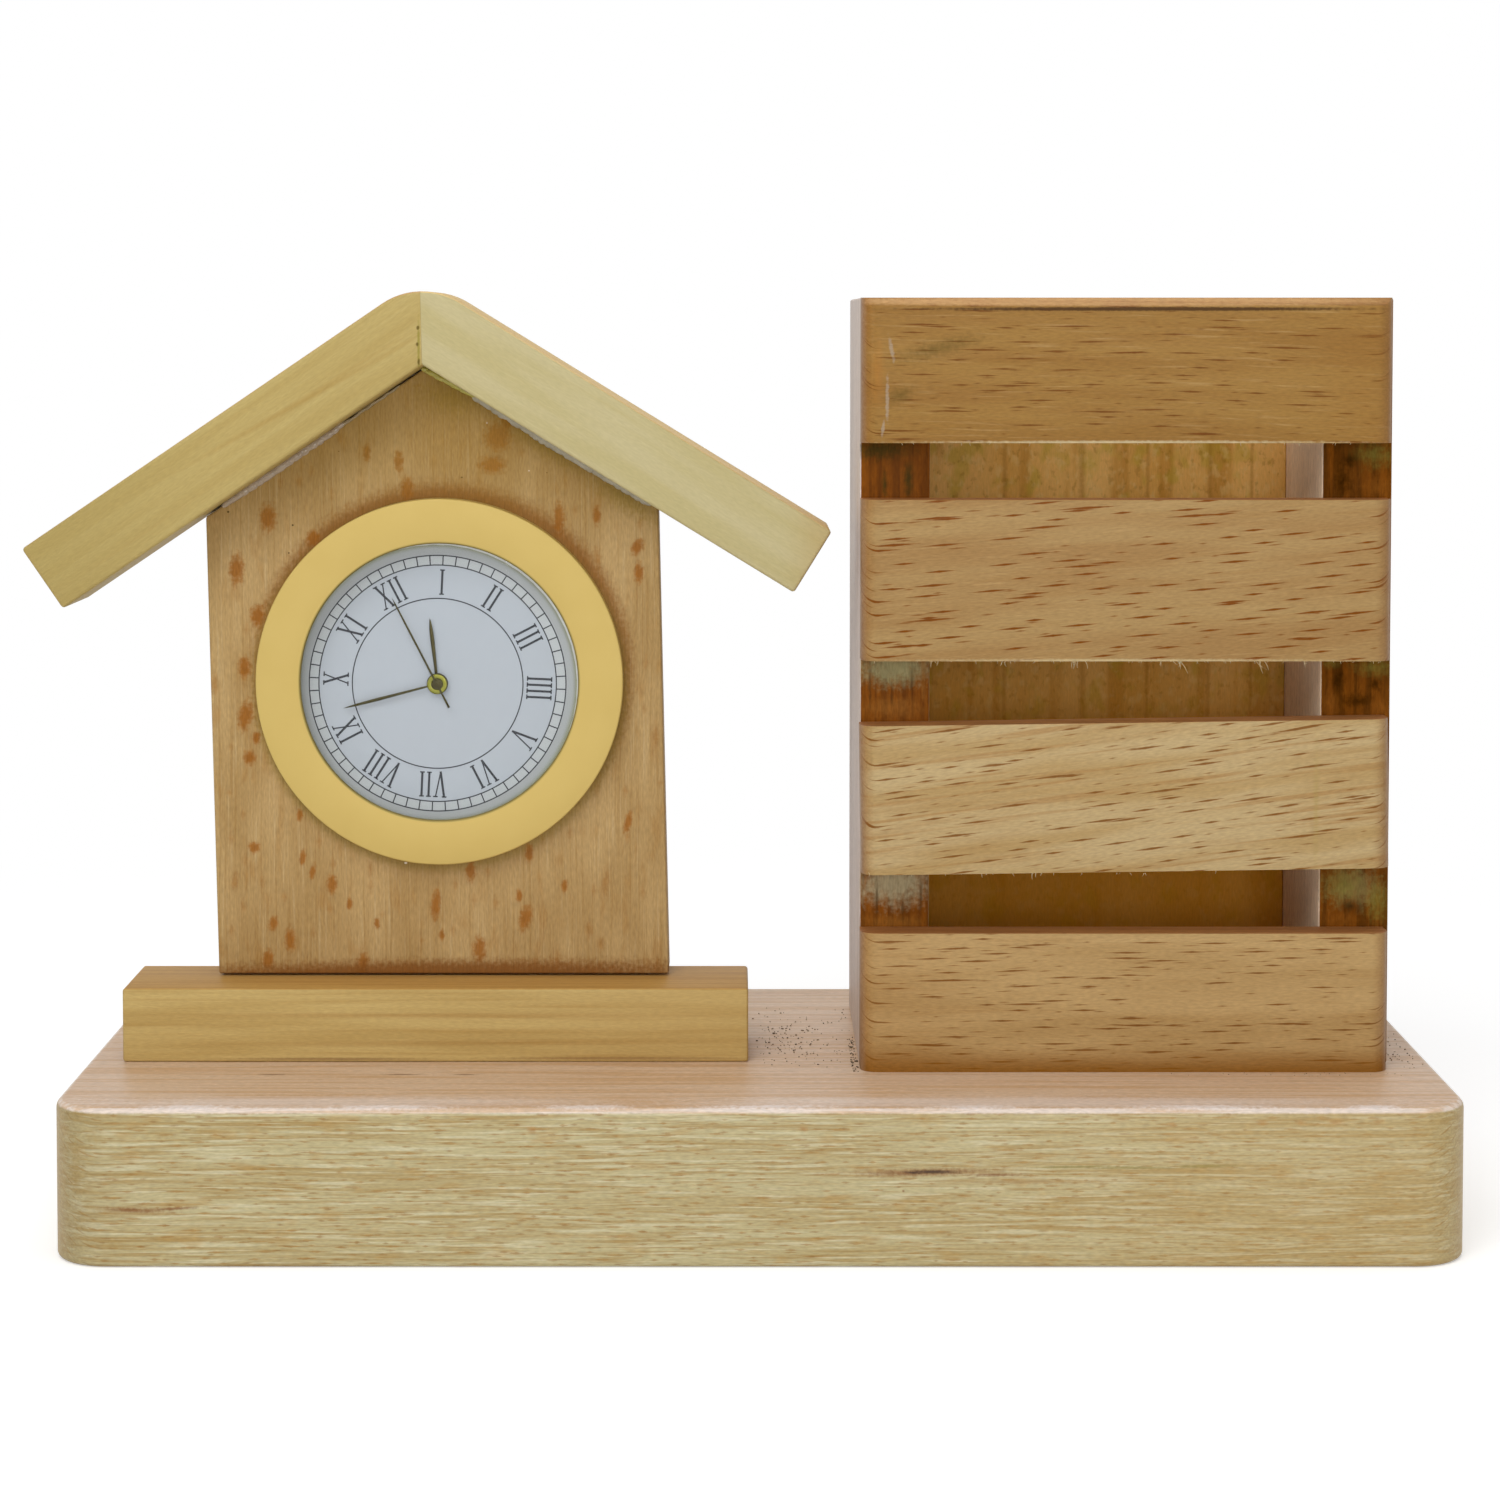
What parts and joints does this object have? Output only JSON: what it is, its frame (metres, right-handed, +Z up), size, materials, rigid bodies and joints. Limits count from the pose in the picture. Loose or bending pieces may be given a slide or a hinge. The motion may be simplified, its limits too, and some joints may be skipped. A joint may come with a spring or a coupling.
{
  "type": "pen holder with clock",
  "caption": "Desk pen holder: a slatted wooden pen box and a small gabled stand with a round quartz clock insert, side by side on one base plank.",
  "frame": {"origin": "middle of the base plank's underside", "axes": "+X along the base from the clock to the pen box, +Y from the front to the back, +Z up"},
  "size_m": [0.2089, 0.082, 0.137],
  "materials": {
    "base_wood": "beech plank, thin clear varnish, smooth",
    "pine_strip": "pine strip, sanded, thin varnish",
    "panel_wood": "beech board, upright grain, thin varnish",
    "holder_wood": "beech board, upright grain, sawn edges",
    "slat_wood": "beech slat, level grain with dark flecks, thin varnish",
    "gilt_metal": "satin gilt, pressed",
    "clear_lens": "clear, flat",
    "dial": "matt printed dial, dark grey print",
    "hands": "dark brass, polished",
    "brass": "stamped and cut brass",
    "steel": "plain steel",
    "copper": "enamelled copper wire",
    "board": "green board",
    "black_plastic": "moulded, fine texture",
    "white_plastic": "moulded",
    "rubber": "ribbed black rubber"
  },
  "bodies": {
    "stand_and_box": {"base_plank": "base_wood", "hut_plinth": "pine_strip", "hut_panel": "panel_wood", "roof_slat_left": "pine_strip", "roof_slat_right": "pine_strip", "holder_side_left": "holder_wood", "holder_side_right": "holder_wood", "holder_back": "holder_wood", "holder_slat_1": "slat_wood", "holder_slat_2": "slat_wood", "holder_slat_3": "slat_wood", "holder_slat_4": "slat_wood"},
    "clock_insert": {"clock_bezel": "gilt_metal", "clock_lens": "clear_lens", "dial_spacer": "white_plastic", "dial_plate": "dial", "clock_case": "black_plastic", "grip_ring": "rubber", "back_cover": "black_plastic", "main_plate": "white_plastic", "train_bridge": "steel", "bridge_screw_1": "steel", "bridge_screw_2": "steel", "bridge_screw_3": "steel", "stator": "steel", "coil_core": "steel", "coil_winding": "copper", "circuit_board": "board", "quartz_crystal": "steel", "button_cell": "steel", "clip_positive": "steel", "clip_negative": "steel"},
    "seconds_arbor": {"second_hand": "hands", "seconds_wheel": "brass"},
    "minute_arbor": {"minute_hand": "hands", "centre_wheel": "brass"},
    "hour_arbor": {"hour_hand": "hands", "hour_wheel": "brass"},
    "third_arbor": {"third_wheel": "brass"},
    "intermediate_arbor": {"intermediate_wheel": "brass"},
    "rotor_arbor": {"rotor": "steel"},
    "motion_arbor": {"motion_wheel": "brass"},
    "setting_arbor": {"setting_knob": "black_plastic"}
  },
  "joints": [
    {"name": "insert_slide", "type": "slide", "parent": "stand_and_box", "child": "clock_insert", "axis": [0, -1, 0], "range_m": [0, 0.012]},
    {"name": "seconds_turn", "type": "hinge", "parent": "clock_insert", "child": "seconds_arbor", "pos_m": [-0.04846, -0.003, 0.07786], "axis": [0, 1, 0], "continuous": true},
    {"name": "minute_turn", "type": "hinge", "parent": "clock_insert", "child": "minute_arbor", "pos_m": [-0.04846, -0.003, 0.07786], "axis": [0, 1, 0], "continuous": true},
    {"name": "hour_turn", "type": "hinge", "parent": "clock_insert", "child": "hour_arbor", "pos_m": [-0.04846, -0.003, 0.07786], "axis": [0, 1, 0], "continuous": true},
    {"name": "third_turn", "type": "hinge", "parent": "clock_insert", "child": "third_arbor", "pos_m": [-0.05065, -0.003, 0.07141], "axis": [0, 1, 0], "continuous": true},
    {"name": "intermediate_turn", "type": "hinge", "parent": "clock_insert", "child": "intermediate_arbor", "pos_m": [-0.04519, -0.003, 0.08383], "axis": [0, 1, 0], "continuous": true},
    {"name": "rotor_turn", "type": "hinge", "parent": "clock_insert", "child": "rotor_arbor", "pos_m": [-0.03996, -0.003, 0.08586], "axis": [0, 1, 0], "continuous": true},
    {"name": "motion_turn", "type": "hinge", "parent": "clock_insert", "child": "motion_arbor", "pos_m": [-0.04572, -0.003, 0.07334], "axis": [0, 1, 0], "continuous": true},
    {"name": "setting_turn", "type": "hinge", "parent": "clock_insert", "child": "setting_arbor", "pos_m": [-0.04298, -0.003, 0.06883], "axis": [0, 1, 0], "continuous": true}
  ],
  "couplings": [
    {"joint": "intermediate_turn", "follows": "seconds_turn", "ratio": -5},
    {"joint": "rotor_turn", "follows": "seconds_turn", "ratio": 30},
    {"joint": "third_turn", "follows": "seconds_turn", "ratio": -0.13333},
    {"joint": "minute_turn", "follows": "seconds_turn", "ratio": 0.016667},
    {"joint": "motion_turn", "follows": "seconds_turn", "ratio": -0.0055556},
    {"joint": "hour_turn", "follows": "seconds_turn", "ratio": 0.0013889},
    {"joint": "setting_turn", "follows": "seconds_turn", "ratio": 0.016667}
  ]
}
